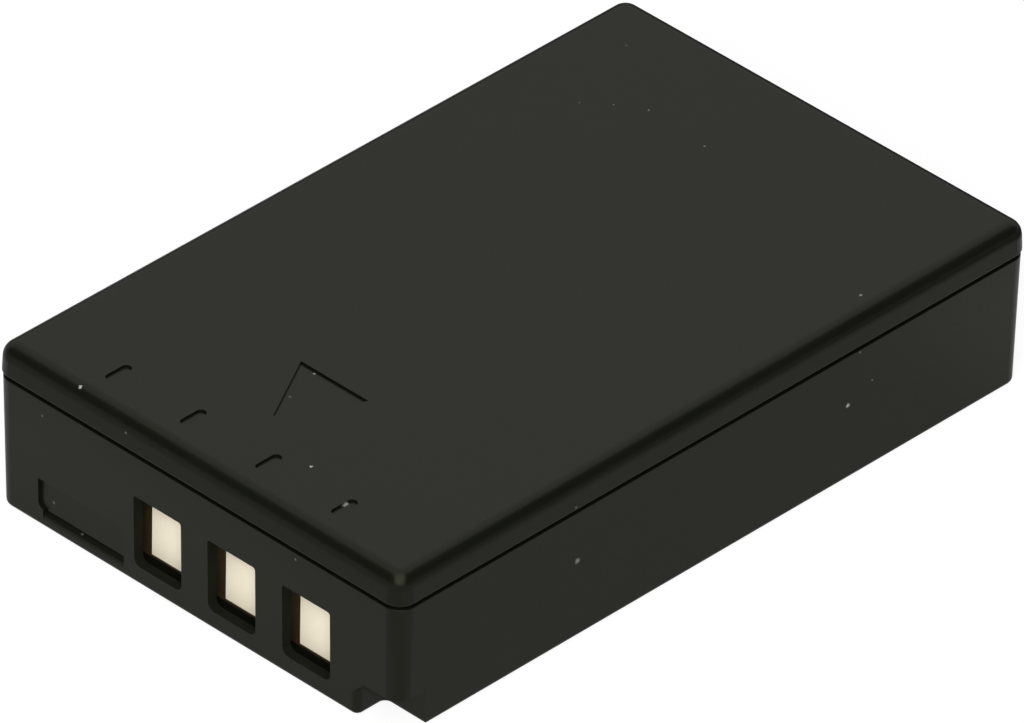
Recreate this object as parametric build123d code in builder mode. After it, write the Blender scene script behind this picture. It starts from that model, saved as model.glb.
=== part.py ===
from build123d import *
import os
from math import acos, degrees, radians, sin, tan

os.makedirs("parts", exist_ok=True)

# A flat two-cell camera battery, in millimetres. X runs from the contact end to the plain end,
# Z is up, and the origin is the middle of the underside.

# Case, outside
case_length = 55.0
case_width = 35.0
case_height = 12.0
cover_depth = 2.28  # from the top to the middle of the groove between tray and cover
corner_radius = 1.2  # upright corners, seen from above
top_edge_radius = 1.05
bottom_edge_radius = 0.35
side_draft = 1.26  # degrees: the tray narrows towards its underside
cover_draft = 2.6  # degrees: the cover narrows towards its top
groove_height = 0.27
groove_depth = 0.35
groove_chamfer = 0.03  # on the tray's rim
groove_ease = 0.14  # rounded lower edge of the cover
tray_inset = 0.06  # the cover stands this far proud of the tray

# Case, walls
wall = 0.95
contact_wall = 0.95  # the end wall that the contact windows go through
floor = 0.75
roof = 0.8
inner_radius = 0.6  # upright corners of the inside
tongue_thickness = 0.4  # lip of the cover that stands inside the tray
tongue_depth = 0.7  # how far it reaches below the parting line
tongue_clearance = 0.05

# Contact end: three windows, a blank fourth place and a keying notch in the lower corner
contact_pitch = 6.4
contact_inset = 8.06  # from the keyed long side to the middle of the nearest window
contact_count = 3
window_width = 4.1
window_height = 5.2
window_bottom = 1.4
window_lower_radius = 0.55
window_upper_radius = 0.2
blank_width = 7.47
blank_bottom = 1.29
blank_top = 3.55
blank_depth = 0.2
blank_step = 6.7  # from the last window to the middle of the blank place
blank_radius = 0.55  # of its lower outer corner
slot_end = 0.4  # the slot under the blank place stops this far short of that corner
slot_depth = 0.42
slot_bottom = 0.6
slot_lip_radius = 0.6  # round lower lip of the slot
notch_length = 2.65
notch_width = 3.7
notch_height = 2.7
notch_roof_bevel = 0.55
notch_mouth_radius = 0.5
notch_root_radius = 0.4
notch_wall = 0.8

# Sunk marks on the cover: an insertion arrow and one dash over each place of the contact row
mark_depth = 0.15
arrow_inset = 6.7  # from the contact end to the tip
arrow_length = 5.28
arrow_base = 5.8
dash_inset = 3.14
dash_length = 2.0
dash_width = 0.7
dash_pitch = 6.48
dash_offset = -0.18  # of the first dash from the middle of its window
dash_count = 4

# Ribs inside the tray
rib_root = 0.3  # how far each rib runs into the wall behind it
guide_thickness = 0.7  # the pair behind the board, which holds it upright against a pair in front
guide_reach = 1.8
guide_clearance = 0.05
guide_gap = 0.6  # from the rib's top to the cover's tongue
side_rib_thickness = 0.8  # the low ribs that centre the cells
side_rib_pitch = 13.0
side_rib_count = 4
side_rib_clearance = 0.05

# Contacts and board
contact_setback = 0.75  # from the inside of the end wall to the contacts
contact_thickness = 0.5
contact_edge = 0.05
board_thickness = 0.8
board_clearance = 0.1

# Cells and what beds them
front_room = 3.4  # between the board and the cells
rear_room = 1.25  # between the cells and the plain end
cell_clearance = 0.1
cell_edge_radius = 2.5
cell_end_chamfer = 0.4
terminal_length = 4.6
terminal_width = 3.0
terminal_radius = 0.6
terminal_base = 0.25
rivet_diameter = 2.4
rivet_height = 0.6
divider_thickness = 0.15
adhesive_thickness = 0.15
pad_thickness = 0.3
pad_margin = 1.5
insulator_thickness = 0.25
insulator_radius = 2.1
opening_length = 6.0
opening_width = 4.0

# Nickel strips
strip_thickness = 0.1
strip_width = 3.0
tape_thickness = 0.08
tape_width = 7.6
tape_gap = 0.4  # between the tape and the pads beside it
weld_length = 4.0
solder_length = 2.0
fold_length = 1.2

# Thermal cut-off
cutoff_body_length = 4.4
cutoff_body_width = 3.6
cutoff_body_thickness = 1.0
cutoff_corner = 0.4

# Parts soldered to the board
ic_inset = 3.4  # from the board's end
mosfet_length = 3.0
mosfet_width = 4.4
mosfet_height = 1.0
mosfet_lead_count = 4  # on each side
ic_length = 2.9
ic_width = 1.6
ic_height = 1.0
ic_lead_count = 3  # on each side
lead_width = 0.3
lead_reach = 0.6
lead_thickness = 0.15
lead_pitch = 0.65
package_chamfer = 0.12
chip_length = 1.0
chip_width = 0.5
chip_height = 0.4
chip_pitch = 1.3
chip_row = 1.6  # above the floor
resistor_y = 3.0
resistor_count = 4
capacitor_y = -3.5
capacitor_count = 3
thermistor_length = 1.6
thermistor_width = 0.8
thermistor_height = 0.8
thermistor_y = -8.0

# Planes of the case
front_x = -case_length / 2
rear_x = case_length / 2
parting_height = case_height - cover_depth
tray_top = parting_height - groove_height / 2
cover_bottom = parting_height + groove_height / 2
tongue_bottom = parting_height - tongue_depth
roof_under = case_height - roof
inner_front = front_x + contact_wall
inner_rear = rear_x - wall
inner_half_width = case_width / 2 - wall
inner_length = inner_rear - inner_front
inner_middle = (inner_front + inner_rear) / 2
tongue_half_width = inner_half_width - tongue_clearance - tongue_thickness
keyed_side = -case_width / 2
contact_places = [keyed_side + contact_inset + k * contact_pitch for k in range(contact_count)]
notch_x = front_x + notch_length
notch_y = keyed_side + notch_width

# Places of the board and the cells
board_front = inner_front + contact_setback + contact_thickness
board_rear = board_front + board_thickness
board_top = tongue_bottom - board_clearance
board_half_width = inner_half_width - inner_radius
cell_front = board_rear + front_room
cell_rear = inner_rear - rear_room
cell_length = cell_rear - cell_front
cell_bottom = floor + adhesive_thickness
cell_top = roof_under - pad_thickness
cell_thickness = cell_top - cell_bottom
cell_middle_x = (cell_front + cell_rear) / 2
cell_middle_z = (cell_bottom + cell_top) / 2
stack_half_width = tongue_half_width - cell_clearance
cell_width = stack_half_width - divider_thickness / 2
cell_y = (stack_half_width + divider_thickness / 2) / 2

# Tray: a drafted box, open above, with a rim that carries the cover
with BuildPart() as lower_case:
    with BuildSketch(Plane.XY.offset(tray_top)):
        RectangleRounded(case_length - 2 * tray_inset, case_width - 2 * tray_inset, corner_radius)
    extrude(amount=-tray_top, taper=side_draft)

    # Keying notch, bevelled under its roof, rounded where it opens in the end face and at its root
    with BuildSketch(Plane.YZ.offset(front_x)) as notch:
        with Locations((keyed_side, 0)):
            Rectangle(2 * notch_width, 2 * notch_height)
        chamfer(notch.vertices().sort_by_distance((notch_y, notch_height))[0], notch_roof_bevel)
    extrude(amount=notch_length, mode=Mode.SUBTRACT)
    notch_edges = lower_case.edges().filter_by_position(Axis.Z, 0, notch_height, inclusive=(False, False))
    fillet(notch_edges.sort_by_distance((front_x, notch_y, 0))[0], notch_mouth_radius)
    notch_edges = lower_case.edges().filter_by_position(Axis.Z, 0, notch_height, inclusive=(False, False))
    fillet(notch_edges.sort_by_distance((notch_x, notch_y, 0))[0], notch_root_radius)

    # Rounded underside, eased upper edge and the rim inside the groove
    fillet(lower_case.faces().sort_by(Axis.Z)[0].edges(), bottom_edge_radius)
    chamfer(lower_case.faces().sort_by(Axis.Z)[-1].edges(), groove_chamfer)
    with BuildSketch(Plane.XY.offset(tray_top)):
        RectangleRounded(
            case_length - 2 * groove_depth, case_width - 2 * groove_depth, corner_radius - groove_depth
        )
    extrude(amount=groove_height)

    # Inside, with the corner over the notch left standing
    with BuildSketch(Plane.XY.offset(notch_height + notch_wall)):
        with Locations((inner_middle, 0)):
            RectangleRounded(inner_length, 2 * inner_half_width, inner_radius)
    extrude(amount=cover_bottom - notch_height - notch_wall, mode=Mode.SUBTRACT)
    with BuildSketch(Plane.XY.offset(floor)):
        with Locations((inner_middle, 0)):
            RectangleRounded(inner_length, 2 * inner_half_width, inner_radius)
        with Locations((front_x, keyed_side)):
            Rectangle(
                2 * (notch_length + notch_wall), 2 * (notch_width + notch_wall), mode=Mode.SUBTRACT
            )
    extrude(amount=notch_height + notch_wall - floor, mode=Mode.SUBTRACT)

    # Ribs: a guide behind and a stop in front of each end of the board, and low ribs along the cells.
    # The stop on the keyed side stands on the block over the notch.
    guide_top = tongue_bottom - guide_gap
    guide_y = inner_half_width - (guide_reach - rib_root) / 2
    stop_back = board_front - guide_clearance
    stop_front = inner_front - rib_root
    for y, base in ((guide_y, floor), (-guide_y, notch_height + notch_wall)):
        with BuildSketch(Plane.XY.offset(floor)):
            with Locations((board_rear + guide_clearance + guide_thickness / 2, y)):
                Rectangle(guide_thickness, guide_reach + rib_root)
        extrude(amount=guide_top - floor)
        with BuildSketch(Plane.XY.offset(base)):
            with Locations(((stop_front + stop_back) / 2, y)):
                Rectangle(stop_back - stop_front, guide_reach + rib_root)
        extrude(amount=guide_top - base)
    side_rib_reach = inner_half_width - stack_half_width - side_rib_clearance
    with BuildSketch(Plane.XY.offset(floor)):
        with Locations((cell_middle_x, 0)):
            with GridLocations(
                side_rib_pitch, 2 * inner_half_width - side_rib_reach + rib_root, side_rib_count, 2
            ):
                Rectangle(side_rib_thickness, side_rib_reach + rib_root)
    extrude(amount=cell_middle_z - floor)

    # Contact windows, and the blank place beside them with a slot along its foot
    with BuildSketch(Plane.YZ.offset(front_x)) as windows:
        with Locations([(y, window_bottom + window_height / 2) for y in contact_places]):
            Rectangle(window_width, window_height)
        fillet(windows.vertices().group_by(Axis.Y)[0], window_lower_radius)
        fillet(windows.vertices().group_by(Axis.Y)[-1], window_upper_radius)
    extrude(amount=contact_wall, mode=Mode.SUBTRACT)
    blank_y = contact_places[-1] + blank_step
    blank_face = front_x + tray_inset + (tray_top - slot_bottom) * tan(radians(side_draft))
    with BuildSketch(Plane.YZ.offset(blank_face + blank_depth)) as blank:
        with Locations((blank_y, (blank_bottom + blank_top) / 2)):
            Rectangle(blank_width, blank_top - blank_bottom)
        fillet(blank.vertices().sort_by_distance((blank_y + blank_width, blank_bottom))[0], blank_radius)
    extrude(amount=-2 * blank_depth, mode=Mode.SUBTRACT)
    lip_angle = degrees(acos(1 - slot_depth / slot_lip_radius))
    lip_top = slot_bottom + slot_lip_radius * sin(radians(lip_angle))
    with BuildSketch(Plane.XZ.offset(slot_end / 2 - blank_y)):
        with BuildLine():
            CenterArc(
                (blank_face + slot_lip_radius, slot_bottom), slot_lip_radius, 180 - lip_angle, lip_angle
            )
            Polyline(
                (blank_face, slot_bottom),
                (blank_face - blank_depth, slot_bottom),
                (blank_face - blank_depth, blank_bottom),
                (blank_face + slot_depth, blank_bottom),
                (blank_face + slot_depth, lip_top),
            )
        make_face()
    extrude(amount=(blank_width - slot_end) / 2, both=True, mode=Mode.SUBTRACT)
lower_case.part.label = "lower_case"
export_step(lower_case.part, "parts/lower_case.step")

# Cover: a shallow lid with soft upper edges and a tongue that stands inside the tray
with BuildPart() as upper_cover:
    with BuildSketch(Plane.XY.offset(cover_bottom)):
        RectangleRounded(case_length, case_width, corner_radius)
    extrude(amount=case_height - cover_bottom, taper=cover_draft)
    fillet(upper_cover.faces().sort_by(Axis.Z)[-1].edges(), top_edge_radius)
    fillet(upper_cover.faces().sort_by(Axis.Z)[0].edges(), groove_ease)
    with BuildSketch(Plane.XY.offset(cover_bottom)):
        with Locations((inner_middle, 0)):
            RectangleRounded(
                inner_length - 2 * tongue_clearance,
                2 * (inner_half_width - tongue_clearance),
                inner_radius - tongue_clearance,
            )
    extrude(amount=tongue_bottom - cover_bottom)
    with BuildSketch(Plane.XY.offset(tongue_bottom)):
        with Locations((inner_middle, 0)):
            RectangleRounded(
                inner_length - 2 * (tongue_clearance + tongue_thickness),
                2 * tongue_half_width,
                inner_radius - tongue_clearance - tongue_thickness,
            )
    extrude(amount=roof_under - tongue_bottom, mode=Mode.SUBTRACT)

    # Arrow that points to the contact end, and the row of dashes
    arrow_y = contact_places[0] + dash_offset + (dash_count - 1) * dash_pitch / 2
    with BuildSketch(Plane.XY.offset(case_height)):
        with BuildLine():
            Polyline(
                (front_x + arrow_inset, arrow_y),
                (front_x + arrow_inset + arrow_length, arrow_y - arrow_base / 2),
                (front_x + arrow_inset + arrow_length, arrow_y + arrow_base / 2),
                close=True,
            )
        make_face()
        with Locations((front_x + dash_inset, arrow_y)):
            with GridLocations(0, dash_pitch, 1, dash_count):
                SlotOverall(dash_length, dash_width)
    extrude(amount=-mark_depth, mode=Mode.SUBTRACT)
upper_cover.part.label = "upper_cover"
export_step(upper_cover.part, "parts/upper_cover.step")

# Contacts: flat pads on the board's front face, one behind each window
for name, place in zip(("contact_negative", "contact_sense", "contact_positive"), contact_places):
    with BuildPart() as contact:
        with BuildSketch(Plane.YZ.offset(board_front)):
            with Locations((place, window_bottom + window_height / 2)):
                Rectangle(window_width, window_height)
        extrude(amount=-contact_thickness)
        chamfer(contact.faces().sort_by(Axis.X)[0].edges(), contact_edge)
    contact.part.label = name
    export_step(contact.part, f"parts/{name}.step")

# Board: stands on the tray's floor, cut away over the keying notch
with BuildPart() as protection_board:
    with BuildSketch(Plane.YZ.offset(board_front)):
        with Locations((0, (floor + board_top) / 2)):
            Rectangle(2 * board_half_width, board_top - floor)
        with Locations((keyed_side, 0)):
            Rectangle(
                2 * (notch_width + notch_wall + board_clearance),
                2 * (notch_height + notch_wall + board_clearance),
                mode=Mode.SUBTRACT,
            )
    extrude(amount=board_thickness)
protection_board.part.label = "protection_board"
export_step(protection_board.part, "parts/protection_board.step")


def leaded_package(middle, length, width, height, leads):
    # Moulded body with a row of flat leads along each long side, flat on the board's rear face
    with BuildPart() as package:
        with BuildSketch(Plane.YZ.offset(board_rear)):
            with Locations(middle):
                Rectangle(length, width)
        extrude(amount=height)
        chamfer(package.faces().sort_by(Axis.X)[-1].edges(), package_chamfer)
        with BuildSketch(Plane.YZ.offset(board_rear)):
            with Locations(middle):
                with GridLocations(lead_pitch, 0, leads, 1):
                    Rectangle(lead_width, width + 2 * lead_reach)
        extrude(amount=lead_thickness)
    return package.part


def board_chips(middle, count, length, width, height):
    # A row of plain ceramic chips on the board's rear face
    with BuildPart() as chips:
        with BuildSketch(Plane.YZ.offset(board_rear)):
            with Locations(middle):
                with GridLocations(chip_pitch, 0, count, 1):
                    Rectangle(width, length)
        extrude(amount=height)
    return chips.part


# Parts soldered to the board's rear face
board_middle_z = (floor + board_top) / 2
chip_z = floor + chip_row
power_mosfet = leaded_package(
    (cell_y, board_middle_z), mosfet_length, mosfet_width, mosfet_height, mosfet_lead_count
)
power_mosfet.label = "power_mosfet"
export_step(power_mosfet, "parts/power_mosfet.step")

ic_y = board_half_width - ic_inset
protection_ic = leaded_package((ic_y, board_middle_z), ic_length, ic_width, ic_height, ic_lead_count)
protection_ic.label = "protection_ic"
export_step(protection_ic, "parts/protection_ic.step")

thermistor = board_chips(
    (thermistor_y, chip_z), 1, thermistor_length, thermistor_width, thermistor_height
)
thermistor.label = "thermistor"
export_step(thermistor, "parts/thermistor.step")

chip_resistors = board_chips((resistor_y, chip_z), resistor_count, chip_length, chip_width, chip_height)
chip_resistors.label = "chip_resistors"
export_step(chip_resistors, "parts/chip_resistors.step")

chip_capacitors = board_chips(
    (capacitor_y, chip_z), capacitor_count, chip_length, chip_width, chip_height
)
chip_capacitors.label = "chip_capacitors"
export_step(chip_capacitors, "parts/chip_capacitors.step")

# Cells: drawn aluminium cans, side by side and laid head to tail. The left one has its terminal
# at the contact end, the right one at the plain end.
for name, side, head in (("cell_left", 1, -1), ("cell_right", -1, 1)):
    head_plane = Plane.YZ.offset(cell_front if head < 0 else cell_rear)
    with BuildPart() as cell:
        with BuildSketch(Plane.YZ.offset(cell_front)):
            with Locations((side * cell_y, cell_middle_z)):
                RectangleRounded(cell_width, cell_thickness, cell_edge_radius)
        extrude(amount=cell_length)
        can_ends = cell.faces().sort_by(Axis.X)
        chamfer(can_ends[0].edges() + can_ends[-1].edges(), cell_end_chamfer)
        with BuildSketch(head_plane):
            with Locations((side * cell_y, cell_middle_z)):
                RectangleRounded(terminal_length, terminal_width, terminal_radius)
        extrude(amount=head * terminal_base)
        with BuildSketch(head_plane):
            with Locations((side * cell_y, cell_middle_z)):
                Circle(rivet_diameter / 2)
        extrude(amount=head * rivet_height)
    cell.part.label = name
    export_step(cell.part, f"parts/{name}.step")

# Double-sided tape between the cells
with BuildPart() as cell_divider:
    with BuildSketch(Plane.XY.offset(cell_bottom + cell_edge_radius)):
        with Locations((cell_middle_x, 0)):
            Rectangle(cell_length - 2 * pad_margin, divider_thickness)
    extrude(amount=cell_thickness - 2 * cell_edge_radius)
cell_divider.part.label = "cell_divider"
export_step(cell_divider.part, "parts/cell_divider.step")

# Adhesive under the cells
with BuildPart() as lower_adhesive:
    with BuildSketch(Plane.XY.offset(floor)):
        with Locations((cell_middle_x, 0)):
            with GridLocations(0, 2 * cell_y, 1, 2):
                Rectangle(cell_length - 2 * pad_margin, cell_width - 2 * cell_edge_radius)
    extrude(amount=adhesive_thickness)
lower_adhesive.part.label = "lower_adhesive"
export_step(lower_adhesive.part, "parts/lower_adhesive.step")

# Foam pads between the cells and the cover, clear of the tape in the middle
with BuildPart() as upper_pads:
    pad_inner = tape_width / 2 + tape_gap
    pad_outer = stack_half_width - cell_edge_radius
    with BuildSketch(Plane.XY.offset(cell_top)):
        with Locations((cell_middle_x, 0)):
            with GridLocations(0, pad_inner + pad_outer, 1, 2):
                Rectangle(cell_length - 2 * pad_margin, pad_outer - pad_inner)
    extrude(amount=pad_thickness)
upper_pads.part.label = "upper_pads"
export_step(upper_pads.part, "parts/upper_pads.step")

# Fibre sheets on both ends of the cells, each with two openings for the welds
for name, plane, direction in (
    ("front_insulator", Plane.YZ.offset(cell_front), -1),
    ("rear_insulator", Plane.YZ.offset(cell_rear), 1),
):
    with BuildPart() as insulator:
        with BuildSketch(plane):
            with Locations((0, cell_middle_z)):
                RectangleRounded(
                    2 * (stack_half_width - cell_end_chamfer),
                    cell_thickness - 2 * cell_end_chamfer,
                    insulator_radius,
                )
                with GridLocations(2 * cell_y, 0, 2, 1):
                    Rectangle(opening_length, opening_width, mode=Mode.SUBTRACT)
        extrude(amount=direction * insulator_thickness)
    insulator.part.label = name
    export_step(insulator.part, f"parts/{name}.step")

# Thermal cut-off: a sealed body with two flat leads, welded to the left cell's terminal
rivet_front = cell_front - rivet_height
cutoff_y = cell_y - weld_length / 2 - cutoff_body_length / 2
with BuildPart() as thermal_cutoff:
    with BuildSketch(Plane.YZ.offset(rivet_front)):
        with Locations((cutoff_y, cell_middle_z)):
            Rectangle(cutoff_body_length, cutoff_body_width)
    extrude(amount=-cutoff_body_thickness)
    fillet(thermal_cutoff.edges().filter_by(Axis.X), cutoff_corner)
    with BuildSketch(Plane.YZ.offset(rivet_front)):
        with Locations((cutoff_y, cell_middle_z)):
            Rectangle(cutoff_body_length + 2 * weld_length, strip_width)
    extrude(amount=-strip_thickness)
thermal_cutoff.part.label = "thermal_cutoff"
export_step(thermal_cutoff.part, "parts/thermal_cutoff.step")


def folded_strip(plane, points):
    # Thin nickel sheet that lies on the left of a folded line drawn on the plane
    with BuildPart() as strip:
        with BuildSketch(plane):
            with BuildLine():
                Polyline(*points)
                offset(amount=strip_thickness, side=Side.LEFT)
            make_face()
        extrude(amount=strip_width / 2, both=True)
    return strip.part


weld_plane = Plane.XY.offset(cell_middle_z)

# Negative strip: from the board to the cut-off's free lead
lead_front = rivet_front - strip_thickness
lead_end = cutoff_y - cutoff_body_length / 2 - weld_length
negative_strip = folded_strip(
    weld_plane,
    [
        (board_rear + strip_thickness, lead_end - fold_length - solder_length),
        (board_rear + strip_thickness, lead_end - fold_length),
        (lead_front, lead_end),
        (lead_front, lead_end + weld_length / 2),
    ],
)
negative_strip.label = "negative_strip"
export_step(negative_strip, "parts/negative_strip.step")

# Positive strip: from the board to the foot of the right cell
foot_end = -cell_y - weld_length / 2
positive_strip = folded_strip(
    weld_plane,
    [
        (board_rear + strip_thickness, foot_end - fold_length - solder_length),
        (board_rear + strip_thickness, foot_end - fold_length),
        (cell_front, foot_end),
        (cell_front, foot_end + weld_length),
    ],
)
positive_strip.label = "positive_strip"
export_step(positive_strip, "parts/positive_strip.step")

# Series link: from the foot of the left cell, over the fibre sheet, to the right cell's terminal
bridge_x = cell_rear + insulator_thickness
series_link = folded_strip(
    weld_plane,
    [
        (cell_rear, cell_y + weld_length / 2),
        (cell_rear, cell_y - weld_length / 2),
        (bridge_x, cell_y - opening_length / 2),
        (bridge_x, -cell_y + opening_length / 2 + fold_length),
        (cell_rear + rivet_height, -cell_y + weld_length / 2),
        (cell_rear + rivet_height, -cell_y - weld_length / 2),
    ],
)
series_link.label = "series_link"
export_step(series_link, "parts/series_link.step")

# Tape along the top of the cells, and the midpoint strip that lies on it from the link to the board
with BuildPart() as strip_tape:
    with BuildSketch(Plane.XY.offset(cell_top)):
        with Locations((cell_middle_x, 0)):
            Rectangle(cell_length - 2 * cell_end_chamfer, tape_width)
    extrude(amount=tape_thickness)
strip_tape.part.label = "strip_tape"
export_step(strip_tape.part, "parts/strip_tape.step")

midpoint_strip = folded_strip(
    Plane.XZ,
    [
        (board_rear + strip_thickness, board_top - solder_length / 2),
        (board_rear + strip_thickness, cell_top + tape_thickness),
        (bridge_x + strip_thickness, cell_top + tape_thickness),
        (bridge_x + strip_thickness, cell_middle_z - strip_width / 2),
    ],
)
midpoint_strip.label = "midpoint_strip"
export_step(midpoint_strip, "parts/midpoint_strip.step")
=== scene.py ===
import bpy
import math
from mathutils import Matrix, Vector


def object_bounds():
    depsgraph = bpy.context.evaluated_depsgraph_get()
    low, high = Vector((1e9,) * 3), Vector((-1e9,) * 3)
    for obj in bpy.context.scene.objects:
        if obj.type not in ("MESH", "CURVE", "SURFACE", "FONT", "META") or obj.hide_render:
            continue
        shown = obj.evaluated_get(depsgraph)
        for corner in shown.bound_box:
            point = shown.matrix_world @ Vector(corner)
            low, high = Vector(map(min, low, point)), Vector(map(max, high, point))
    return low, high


# Looks of a flat two-cell camera battery: the case, the contacts in its windows and what is sealed inside.

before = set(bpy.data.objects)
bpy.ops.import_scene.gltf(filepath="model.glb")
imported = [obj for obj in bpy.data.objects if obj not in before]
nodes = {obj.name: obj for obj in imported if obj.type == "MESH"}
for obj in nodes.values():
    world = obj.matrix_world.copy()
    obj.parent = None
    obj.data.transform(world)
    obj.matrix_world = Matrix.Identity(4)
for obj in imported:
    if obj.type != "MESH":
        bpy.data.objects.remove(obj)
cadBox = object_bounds()
mm = 0.001
patternDetail = 3.0
print("frame loaded:", len(nodes), "nodes")


def linear(hexColour):
    # sRGB hex to the linear colour that the shaders take
    channels = [int(hexColour[i:i + 2], 16) / 255 for i in (1, 3, 5)]
    return tuple(c / 12.92 if c <= 0.04045 else ((c + 0.055) / 1.055) ** 2.4 for c in channels) + (1.0,)


def perMm(size):
    # texture scale for a pattern that repeats about every size millimetres
    return 1 / (size * mm)


def addNode(tree, kind, settings=None, links=None):
    node = tree.nodes.new(kind)
    for name, value in (settings or {}).items():
        if isinstance(name, str) and hasattr(node, name):
            setattr(node, name, value)
        else:
            node.inputs[name].default_value = value
    for name, source in (links or {}).items():
        tree.links.new(source, node.inputs[name])
    return node


def newMaterial(name):
    material = bpy.data.materials.new(name)
    material.use_nodes = True
    material.node_tree.nodes.clear()
    return material, material.node_tree


def dress(names, material):
    for name in names:
        for slot in nodes[name].material_slots:
            slot.material = material


# Case: black polycarbonate blend, injection moulded in a fine spark-eroded tool.
# To the eye it is a soft satin black, a little olive, with hardly any grain. A few flecks of dust and
# two pale scuffs on the keyed side are where the photograph has them.
casePlastic = {
    "colour": "#0A0B07",
    "dullColour": "#0D0E0A",
    "sheenColour": "#FAFFDE",
    "fleckColour": "#B9B9B0",
    "roughness": 0.28,
    "glossSpread": (-0.03, 0.04),
    "specular": 0.25,
    "grainMm": 0.16,
    "grainDepthMm": 0.003,
    "handlingMm": 7.0,
    "ragMm": 0.12,
    "raggednessMm": 0.22,
    "fleckCore": 0.4,  # share of a fleck's reach that is fully pale
    "windowRoughness": 1.0,
    "windowCentreMm": (-26.9, -3.04, 4.0),  # middle of the row of windows
    "windowHalfMm": (0.6, 8.6, 2.7),
    "wallFacing": 0.5,  # a window's walls face along X by less than this
    # place and reach in millimetres, then strength
    "flecks": [
        (-26.95, 10.5, 11.85, 0.15, 0.6),
        (-22.85, -5.25, 12.0, 0.12, 0.7),
        (-23.9, -9.3, 11.85, 0.18, 0.4),
        (-24.1, -9.35, 11.85, 0.16, 0.3),
        (-15.75, 1.65, 11.85, 0.1, 0.5),
        (-18.5, 0.95, 11.85, 0.13, 0.1),
        (14.1, -15.75, 12.0, 0.14, 0.3),
        (18.75, 2.1, 12.0, 0.1, 0.3),
        (19.1, 7.25, 12.0, 0.1, 0.25),
        (17.95, 9.2, 12.0, 0.11, 0.15),
        (16.55, 10.8, 12.0, 0.1, 0.1),
        (23.2, 13.2, 12.0, 0.1, 0.1),
        (11.55, -17.35, 5.8, 0.2, 0.45),
        (13.65, -17.35, 6.7, 0.1, 0.25),
        (-12.1, -17.35, 5.9, 0.25, 0.2),
        (-12.45, -17.45, 10.1, 0.12, 0.1),
        (12.4, -17.45, 9.4, 0.1, 0.2),
        (-27.45, -8.6, 9.1, 0.11, 0.15),
        (-27.45, 6.05, 11.0, 0.1, 0.15),
        (-27.05, 12.65, 2.15, 0.11, 0.15),
        (-27.05, 10.2, 1.05, 0.11, 0.1),
        (-27.4, 13.3, 8.5, 0.09, 0.2),
    ],
}


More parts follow.
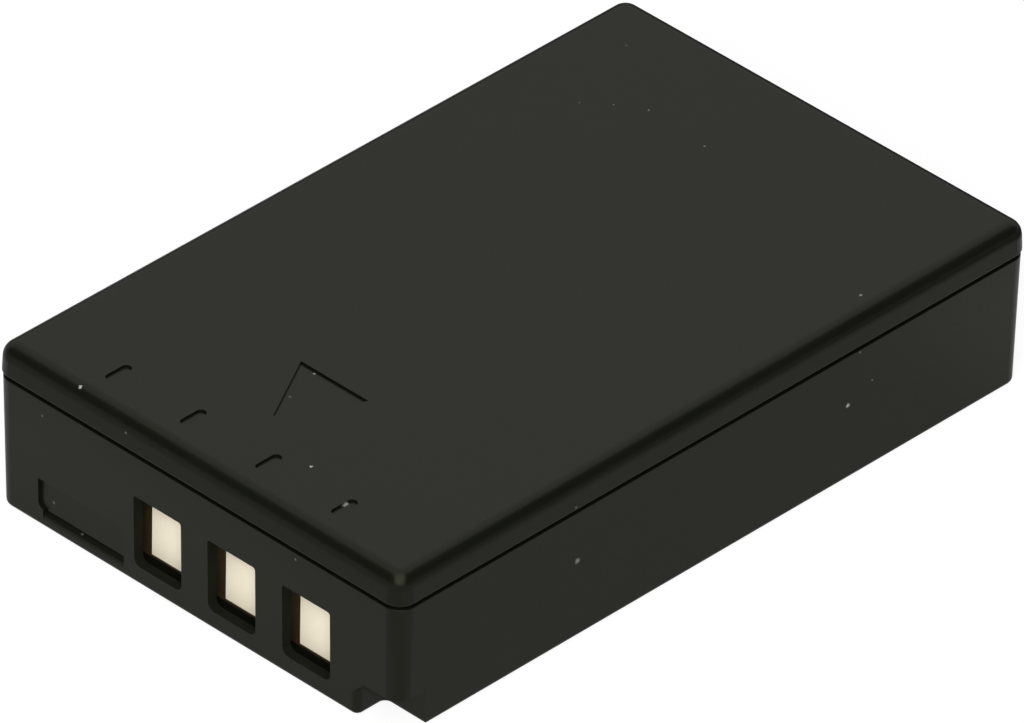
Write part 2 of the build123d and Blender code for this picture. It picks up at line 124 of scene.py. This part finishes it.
def makeCasePlastic(values):
    material, tree = newMaterial("mouldedPolycarbonateBlack")
    texture = addNode(tree, "ShaderNodeTexCoord")
    place = texture.outputs["Object"]
    handling = addNode(tree, "ShaderNodeTexNoise",
                       {"Scale": perMm(values["handlingMm"]), "Detail": patternDetail},
                       {"Vector": place}).outputs["Fac"]
    tone = addNode(tree, "ShaderNodeMix",
                   {"data_type": "RGBA", 6: linear(values["colour"]), 7: linear(values["dullColour"])},
                   {"Factor": handling}).outputs[2]
    # fine noise makes the rims of the flecks ragged
    rag = addNode(tree, "ShaderNodeTexNoise", {"Scale": perMm(values["ragMm"])}, {"Vector": place})
    ragged = values["raggednessMm"] * mm
    shift = addNode(tree, "ShaderNodeVectorMath",
                    {"operation": "MULTIPLY_ADD", 1: (ragged,) * 3, 2: (-ragged / 2,) * 3},
                    {0: rag.outputs["Color"]}).outputs[0]
    shifted = addNode(tree, "ShaderNodeVectorMath", {"operation": "ADD"}, {0: place, 1: shift}).outputs[0]
    for x, y, z, reach, strength in values["flecks"]:
        away = addNode(tree, "ShaderNodeVectorMath",
                       {"operation": "DISTANCE", 1: (x * mm, y * mm, z * mm)}, {0: shifted}).outputs["Value"]
        cover = addNode(tree, "ShaderNodeMapRange",
                        {"From Min": reach * mm, "From Max": reach * values["fleckCore"] * mm,
                         "To Max": strength},
                        {"Value": away}).outputs["Result"]
        tone = addNode(tree, "ShaderNodeMix", {"data_type": "RGBA", 7: linear(values["fleckColour"])},
                       {"Factor": cover, 6: tone}).outputs[2]
    glossier, duller = values["glossSpread"]
    gloss = addNode(tree, "ShaderNodeMapRange",
                    {"To Min": values["roughness"] + glossier, "To Max": values["roughness"] + duller},
                    {"Value": handling}).outputs["Result"]
    # the walls of the contact windows are left as cut in the tool, so they are duller
    apart = addNode(tree, "ShaderNodeVectorMath",
                    {"operation": "SUBTRACT", 1: [c * mm for c in values["windowCentreMm"]]},
                    {0: place}).outputs[0]
    apart = addNode(tree, "ShaderNodeVectorMath",
                    {"operation": "DIVIDE", 1: [h * mm for h in values["windowHalfMm"]]},
                    {0: apart}).outputs[0]
    apart = addNode(tree, "ShaderNodeVectorMath", {"operation": "ABSOLUTE"}, {0: apart}).outputs[0]
    sides = addNode(tree, "ShaderNodeSeparateXYZ", None, {"Vector": apart}).outputs
    widest = sides["X"]
    for axis in "YZ":
        widest = addNode(tree, "ShaderNodeMath", {"operation": "MAXIMUM"},
                         {0: widest, 1: sides[axis]}).outputs[0]
    inside = addNode(tree, "ShaderNodeMath", {"operation": "LESS_THAN", 1: 1.0}, {0: widest}).outputs[0]
    facing = addNode(tree, "ShaderNodeSeparateXYZ", None, {"Vector": texture.outputs["Normal"]}).outputs["X"]
    facing = addNode(tree, "ShaderNodeMath", {"operation": "ABSOLUTE"}, {0: facing}).outputs[0]
    across = addNode(tree, "ShaderNodeMath", {"operation": "LESS_THAN", 1: values["wallFacing"]},
                     {0: facing}).outputs[0]
    walled = addNode(tree, "ShaderNodeMath", {"operation": "MULTIPLY"}, {0: inside, 1: across}).outputs[0]
    gloss = addNode(tree, "ShaderNodeMix", {"data_type": "FLOAT", 3: values["windowRoughness"]},
                    {"Factor": walled, 2: gloss}).outputs[0]
    grain = addNode(tree, "ShaderNodeTexNoise", {"Scale": perMm(values["grainMm"])}, {"Vector": place})
    bump = addNode(tree, "ShaderNodeBump", {"Distance": values["grainDepthMm"] * mm},
                   {"Height": grain.outputs["Fac"]})
    shader = addNode(tree, "ShaderNodeBsdfPrincipled",
                     {"distribution": "GGX", "Specular IOR Level": values["specular"],
                      "Specular Tint": linear(values["sheenColour"])},
                     {"Base Color": tone, "Roughness": gloss, "Normal": bump.outputs["Normal"]})
    addNode(tree, "ShaderNodeOutputMaterial", None, {"Surface": shader.outputs["BSDF"]})
    return material


dress(["lower_case", "upper_cover"], makeCasePlastic(casePlastic))


glossSpread = 0.05  # how far the gloss of the other surfaces strays from its middle value


def makeSurface(name, values):
    # One surface whose tone, gloss and relief all follow a pattern that has a real size and direction
    material, tree = newMaterial(name)
    place = addNode(tree, "ShaderNodeTexCoord").outputs["Object"]
    drawn = addNode(tree, "ShaderNodeMapping", {"Scale": values["stretch"]}, {"Vector": place})
    pattern = addNode(tree, "ShaderNodeTexNoise",
                      {"Scale": perMm(values["patternMm"]), "Detail": patternDetail},
                      {"Vector": drawn.outputs["Vector"]}).outputs["Fac"]
    tone = addNode(tree, "ShaderNodeMix",
                   {"data_type": "RGBA", 6: linear(values["colour"]), 7: linear(values["otherColour"])},
                   {"Factor": pattern})
    gloss = addNode(tree, "ShaderNodeMapRange",
                    {"To Min": values["roughness"] - glossSpread,
                     "To Max": values["roughness"] + glossSpread},
                    {"Value": pattern})
    bump = addNode(tree, "ShaderNodeBump", {"Distance": values["reliefMm"] * mm}, {"Height": pattern})
    shader = addNode(tree, "ShaderNodeBsdfPrincipled", {"Metallic": values["metallic"]},
                     {"Base Color": tone.outputs[2], "Roughness": gloss.outputs["Result"],
                      "Normal": bump.outputs["Normal"]})
    addNode(tree, "ShaderNodeOutputMaterial", None, {"Surface": shader.outputs["BSDF"]})
    return material


# Contacts: stamped nickel with a thin gold flash over a blasted face.
# The eye gets an even cream gold with no mirror in it, and faint upright lines from rolling.
contactPlating = {"colour": "#DFD5BD", "otherColour": "#E4DCC7", "roughness": 0.5, "metallic": 0.15,
                  "patternMm": 0.12, "stretch": (1.0, 1.0, 0.06), "reliefMm": 0.001}
dress(["contact_positive", "contact_sense", "contact_negative"],
      makeSurface("goldFlashedNickel", contactPlating))

# Board: paper laminate, a dull dark brown with a fibrous mottle. A strip of it shows beside each contact.
boardLaminate = {"colour": "#2B2112", "otherColour": "#382C18", "roughness": 0.7, "metallic": 0.0,
                 "patternMm": 0.5, "stretch": (1.0, 1.0, 1.0), "reliefMm": 0.004}
dress(["protection_board"], makeSurface("paperLaminateBrown", boardLaminate))

# Packages: moulded epoxy, a dry matt black with a mineral grain
packageEpoxy = {"colour": "#2E2E30", "otherColour": "#38383A", "roughness": 0.65, "metallic": 0.0,
                "patternMm": 0.08, "stretch": (1.0, 1.0, 1.0), "reliefMm": 0.003}
dress(["protection_ic", "power_mosfet"], makeSurface("mouldedEpoxyBlack", packageEpoxy))

# Chip resistors and the thermistor: dark glazed ceramic, smooth with small cloudy patches
chipGlaze = {"colour": "#565656", "otherColour": "#626262", "roughness": 0.3, "metallic": 0.0,
             "patternMm": 0.3, "stretch": (1.0, 1.0, 1.0), "reliefMm": 0.001}
dress(["chip_resistors", "thermistor"], makeSurface("glazedCeramicGrey", chipGlaze))

# Chip capacitors: tan sintered ceramic, dull and slightly mottled
chipCeramic = {"colour": "#A98B6C", "otherColour": "#BB9C7B", "roughness": 0.45, "metallic": 0.0,
               "patternMm": 0.2, "stretch": (1.0, 1.0, 1.0), "reliefMm": 0.002}
dress(["chip_capacitors"], makeSurface("sinteredCeramicTan", chipCeramic))

# Cells: drawn aluminium, dull silver with long draw lines from end to end
cellCan = {"colour": "#DCDDDF", "otherColour": "#E8E9EA", "roughness": 0.38, "metallic": 1.0,
           "patternMm": 0.25, "stretch": (0.02, 1.0, 1.0), "reliefMm": 0.002}
dress(["cell_left", "cell_right"], makeSurface("drawnAluminium", cellCan))

# Tissue tape between and under the cells: off-white, fibrous and fully matt
tissueTape = {"colour": "#DEDEDA", "otherColour": "#EDEDE9", "roughness": 0.9, "metallic": 0.0,
              "patternMm": 0.4, "stretch": (0.3, 1.0, 1.0), "reliefMm": 0.01}
dress(["cell_divider", "lower_adhesive"], makeSurface("tissueTapeWhite", tissueTape))

# Film under the midpoint strip: amber polyimide, slick, with slow ripples
polyimideFilm = {"colour": "#B77A28", "otherColour": "#C98C36", "roughness": 0.2, "metallic": 0.0,
                 "patternMm": 3.0, "stretch": (1.0, 1.0, 1.0), "reliefMm": 0.01}
dress(["strip_tape"], makeSurface("polyimideAmber", polyimideFilm))

# Pads above the cells: closed-cell foam, dark grey, with a fine pitted skin
padFoam = {"colour": "#565656", "otherColour": "#686868", "roughness": 0.95, "metallic": 0.0,
           "patternMm": 0.15, "stretch": (1.0, 1.0, 1.0), "reliefMm": 0.04}
dress(["upper_pads"], makeSurface("closedCellFoamGrey", padFoam))

# Sheets on the cells' ends: vulcanised fibre, grey-green, with a faint paper formation
fibreSheet = {"colour": "#9DA592", "otherColour": "#ACB3A0", "roughness": 0.8, "metallic": 0.0,
              "patternMm": 0.6, "stretch": (1.0, 1.0, 0.4), "reliefMm": 0.006}
dress(["front_insulator", "rear_insulator"], makeSurface("vulcanisedFibre", fibreSheet))

# Cut-off: dark grey moulded body, a little shiny
cutoffMoulding = {"colour": "#58585B", "otherColour": "#626265", "roughness": 0.4, "metallic": 0.0,
                  "patternMm": 0.2, "stretch": (1.0, 1.0, 1.0), "reliefMm": 0.002}
dress(["thermal_cutoff"], makeSurface("mouldedNylonGrey", cutoffMoulding))

# Strips: rolled nickel, warm silver with fine lines along the roll
nickelStrip = {"colour": "#CFC9BF", "otherColour": "#DAD5CB", "roughness": 0.35, "metallic": 1.0,
               "patternMm": 0.1, "stretch": (0.04, 0.04, 1.0), "reliefMm": 0.001}
dress(["negative_strip", "positive_strip", "series_link", "midpoint_strip"],
      makeSurface("rolledNickel", nickelStrip))
print("materials assigned")

# Floor: white paper, pure white to the camera. What the case mirrors of it is set apart from that: bright
# just in front of the contact end, most of all at its left, and beside the far part of the keyed side, dimmer
# farther out, where the cover's flanks mirror it, and dark some way behind the plain end.
studioPaper = {
    "size": 6.0,
    "drop": 0.05 * mm,  # keeps the paper clear of the underside
    "colour": "#F4F4F4",
    "whiteShare": 0.85,
    "mirrorLevel": 0.45,
    "endLeft": 22 * mm,
    "endLeftLevel": 0.6,
    "endRight": -12 * mm,
    "endRightLevel": 0.49,
    "endFade": 5 * mm,
    "farStart": 22 * mm,
    "farEnd": 32 * mm,
    "farLevel": 0.62,
    "outerReach": 9.7 * mm,
    "outerFade": 1 * mm,
    "outerLevel": 0.38,
    "behindFrom": 24 * mm,
    "behindFade": 4 * mm,
    "behindLevel": 0.03,
}


def makeFloor(values):
    half = values["size"] / 2
    mesh = bpy.data.meshes.new("studioFloor")
    corners = [(-half, -half), (half, -half), (half, half), (-half, half)]
    mesh.from_pydata([(x, y, -values["drop"]) for x, y in corners], [], [(0, 1, 2, 3)])
    floor = bpy.data.objects.new("studioFloor", mesh)
    bpy.context.scene.collection.objects.link(floor)
    material, tree = newMaterial("studioPaper")
    path = addNode(tree, "ShaderNodeLightPath").outputs
    share = addNode(tree, "ShaderNodeMath", {"operation": "MULTIPLY", 1: values["whiteShare"]},
                    {0: path["Is Camera Ray"]}).outputs[0]
    mirrored = addNode(tree, "ShaderNodeMath", {"operation": "ADD", "use_clamp": True},
                       {0: path["Is Glossy Ray"], 1: path["Is Transmission Ray"]}).outputs[0]
    paper = addNode(tree, "ShaderNodeBsdfDiffuse", {"Color": linear(values["colour"])}).outputs[0]
    white = addNode(tree, "ShaderNodeEmission", {"Strength": 1.0}).outputs[0]
    seen = addNode(tree, "ShaderNodeMixShader", None, {"Fac": share, 1: paper, 2: white}).outputs[0]
    place = addNode(tree, "ShaderNodeTexCoord").outputs["Object"]
    spot = addNode(tree, "ShaderNodeSeparateXYZ", None, {"Vector": place}).outputs
    # share of each zone at a spot: it grows along an axis, from one fade before a line to one fade past it
    zoneLines = {
        "pastEnd": ("X", cadBox[0][0], values["endFade"]),
        "nearEnd": ("X", cadBox[0][0] - values["outerReach"], values["outerFade"]),
        "nearSide": ("Y", cadBox[0][1] - values["outerReach"], values["outerFade"]),
        "behind": ("X", cadBox[1][0] + values["behindFrom"], values["behindFade"]),
    }
    zone = {}
    for name, (axis, line, fade) in zoneLines.items():
        zone[name] = addNode(tree, "ShaderNodeMapRange", {"From Min": line - fade, "From Max": line + fade},
                             {"Value": spot[axis]}).outputs["Result"]
    atEnd = addNode(tree, "ShaderNodeMapRange",
                    {"From Min": values["endRight"], "From Max": values["endLeft"],
                     "To Min": values["endRightLevel"], "To Max": values["endLeftLevel"]},
                    {"Value": spot["Y"]}).outputs["Result"]
    atEnd = addNode(tree, "ShaderNodeMix", {"data_type": "FLOAT", 2: values["outerLevel"]},
                    {"Factor": zone["nearEnd"], 3: atEnd}).outputs[0]
    atSide = addNode(tree, "ShaderNodeMapRange",
                     {"From Min": values["farStart"], "From Max": values["farEnd"],
                      "To Min": values["mirrorLevel"], "To Max": values["farLevel"]},
                     {"Value": spot["X"]}).outputs["Result"]
    atSide = addNode(tree, "ShaderNodeMix", {"data_type": "FLOAT", 2: values["mirrorLevel"]},
                     {"Factor": zone["nearSide"], 3: atSide}).outputs[0]
    level = addNode(tree, "ShaderNodeMix", {"data_type": "FLOAT"},
                    {"Factor": zone["pastEnd"], 2: atEnd, 3: atSide}).outputs[0]
    level = addNode(tree, "ShaderNodeMix", {"data_type": "FLOAT", 3: values["behindLevel"]},
                    {"Factor": zone["behind"], 2: level}).outputs[0]
    glow = addNode(tree, "ShaderNodeEmission", None, {"Strength": level}).outputs[0]
    mixed = addNode(tree, "ShaderNodeMixShader", None, {"Fac": mirrored, 1: seen, 2: glow}).outputs[0]
    addNode(tree, "ShaderNodeOutputMaterial", None, {"Surface": mixed})
    material.cycles.emission_sampling = "NONE"
    mesh.materials.append(material)


# Light: a broad band that runs from behind the camera, over the top and down at the back. Left and right of
# it the studio is dark, which draws the rounded edges, down to a low lit wall. Starts and ends are parts of a
# direction of length 1: across the band, towards the camera or up.
studioLight = {
    "acrossDeg": -46.0,
    "bandStart": 0.42,
    "bandEnd": 0.6,
    "keyedGain": 1.22,
    "spread": 0.6,
    "spreadStart": -0.2,
    "spreadEnd": -0.6,
    "horizonEnd": 0.55,
    "turnOver": 0.3,
    "backLevel": 0.91,
    "frontLevel": 2.2,
    "darkLevel": 0.04,
    "wallTop": 0.26,
    "wallFoot": 0.1,
    "wallStart": 0.45,
    "wallEnd": 0.65,
    "wallLevel": 0.45,
    "backgroundLevel": 1.0,
}


def makeWorld(values):
    world = bpy.data.worlds.new("studio")
    bpy.context.scene.world = world
    world.use_nodes = True
    tree = world.node_tree
    tree.nodes.clear()
    direction = addNode(tree, "ShaderNodeTexCoord").outputs["Generated"]
    turn = math.radians(values["acrossDeg"])
    across = addNode(tree, "ShaderNodeVectorMath",
                     {"operation": "DOT_PRODUCT", 1: (math.cos(turn), math.sin(turn), 0.0)},
                     {0: direction}).outputs["Value"]
    towards = addNode(tree, "ShaderNodeVectorMath",
                      {"operation": "DOT_PRODUCT", 1: (math.sin(turn), -math.cos(turn), 0.0)},
                      {0: direction}).outputs["Value"]
    height = addNode(tree, "ShaderNodeSeparateXYZ", None, {"Vector": direction}).outputs["Z"]
    # the band is a little narrower on the keyed side
    keyed = addNode(tree, "ShaderNodeMath", {"operation": "MULTIPLY", 1: values["keyedGain"]},
                    {0: across}).outputs[0]
    other = addNode(tree, "ShaderNodeMath", {"operation": "MULTIPLY", 1: -1.0}, {0: across}).outputs[0]
    flank = addNode(tree, "ShaderNodeMath", {"operation": "MAXIMUM"}, {0: keyed, 1: other}).outputs[0]
    # and it spreads at the back, where the ends of the rounded edges mirror it
    spread = addNode(tree, "ShaderNodeMapRange",
                     {"From Min": values["spreadStart"], "From Max": values["spreadEnd"],
                      "To Max": values["spread"]}, {"Value": towards}).outputs["Result"]
    aside = addNode(tree, "ShaderNodeMath", {"operation": "SUBTRACT"}, {0: flank, 1: spread}).outputs[0]
    band = addNode(tree, "ShaderNodeMapRange",
                   {"interpolation_type": "SMOOTHSTEP", "From Min": values["bandEnd"],
                    "From Max": values["bandStart"]}, {"Value": aside}).outputs["Result"]
    raised = addNode(tree, "ShaderNodeMapRange",
                     {"interpolation_type": "SMOOTHSTEP", "From Max": values["horizonEnd"]},
                     {"Value": height}).outputs["Result"]
    level = addNode(tree, "ShaderNodeMapRange",
                    {"interpolation_type": "SMOOTHSTEP",
                     "From Min": -values["turnOver"], "From Max": values["turnOver"],
                     "To Min": values["backLevel"], "To Max": values["frontLevel"]},
                    {"Value": towards}).outputs["Result"]
    shape = addNode(tree, "ShaderNodeMath", {"operation": "MULTIPLY"}, {0: band, 1: raised}).outputs[0]
    studio = addNode(tree, "ShaderNodeMath", {"operation": "MULTIPLY_ADD", 2: values["darkLevel"]},
                     {0: shape, 1: level}).outputs[0]
    # left and right the lit paper curves up to a low wall
    low = addNode(tree, "ShaderNodeMapRange",
                  {"From Min": values["wallTop"], "From Max": values["wallFoot"],
                   "To Max": values["wallLevel"]}, {"Value": height}).outputs["Result"]
    wall = addNode(tree, "ShaderNodeMapRange",
                   {"From Min": values["wallStart"], "From Max": values["wallEnd"]},
                   {"Value": flank}).outputs["Result"]
    studio = addNode(tree, "ShaderNodeMath", {"operation": "MULTIPLY_ADD"},
                     {0: low, 1: wall, 2: studio}).outputs[0]
    seen = addNode(tree, "ShaderNodeLightPath").outputs["Is Camera Ray"]
    strength = addNode(tree, "ShaderNodeMix", {"data_type": "FLOAT", 3: values["backgroundLevel"]},
                       {"Factor": seen, 2: studio}).outputs[0]
    light = addNode(tree, "ShaderNodeBackground", None, {"Strength": strength})
    addNode(tree, "ShaderNodeOutputWorld", None, {"Surface": light.outputs[0]})


# Key lamp: a soft box above the camera. It lights the contacts, and is kept out of reflections.
keyLamp = {"place": (-0.62, -0.5, 0.6), "distance": 0.9, "size": 0.4, "power": 9.0}


def makeLamp(values):
    data = bpy.data.lights.new("keyLamp", "AREA")
    data.shape = "SQUARE"
    data.size = values["size"]
    data.energy = values["power"]
    lamp = bpy.data.objects.new("keyLamp", data)
    bpy.context.scene.collection.objects.link(lamp)
    lamp.visible_glossy = False
    towards = Vector(values["place"]).normalized()
    lamp.location = towards * values["distance"]
    lamp.rotation_mode = "QUATERNION"
    lamp.rotation_quaternion = (-towards).to_track_quat("-Z", "Y")


# Camera: a long lens, at the angle that the outline and the parting line of the photograph give
cameraView = {
    "azimuthDeg": -46.0351,
    "elevationDeg": 35.174,
    "rollDeg": 1.2529,
    "distance": 1.06159,
    "focalPx": 17287.96,
    "imageWidthPx": 1024,
    "sensorMm": 36.0,
    "centre": (0.0, 0.0, 0.0064),
    "offsetPx": (2.0557, -6.5272),
}


def makeCamera(values):
    azimuth = math.radians(values["azimuthDeg"])
    elevation = math.radians(values["elevationDeg"])
    roll = math.radians(values["rollDeg"])
    back = Vector((math.sin(azimuth) * math.cos(elevation), -math.cos(azimuth) * math.cos(elevation),
                   math.sin(elevation)))
    flat = Vector((math.cos(azimuth), math.sin(azimuth), 0.0))
    upright = back.cross(flat)
    right = math.cos(roll) * flat + math.sin(roll) * upright
    up = math.cos(roll) * upright - math.sin(roll) * flat
    metresPerPx = values["distance"] / values["focalPx"]
    aside, below = values["offsetPx"]
    aim = Vector(values["centre"]) - right * aside * metresPerPx + up * below * metresPerPx
    data = bpy.data.cameras.new("photoCamera")
    data.sensor_width = values["sensorMm"]
    data.lens = values["focalPx"] / values["imageWidthPx"] * values["sensorMm"]
    camera = bpy.data.objects.new("photoCamera", data)
    bpy.context.scene.collection.objects.link(camera)
    turn = Matrix((right, up, back)).transposed().to_4x4()
    camera.matrix_world = Matrix.Translation(aim + back * values["distance"]) @ turn
    bpy.context.scene.camera = camera


makeFloor(studioPaper)
makeWorld(studioLight)
makeLamp(keyLamp)
makeCamera(cameraView)
bpy.context.scene.view_settings.view_transform = "Standard"
print("paper, light, lamp and camera set")
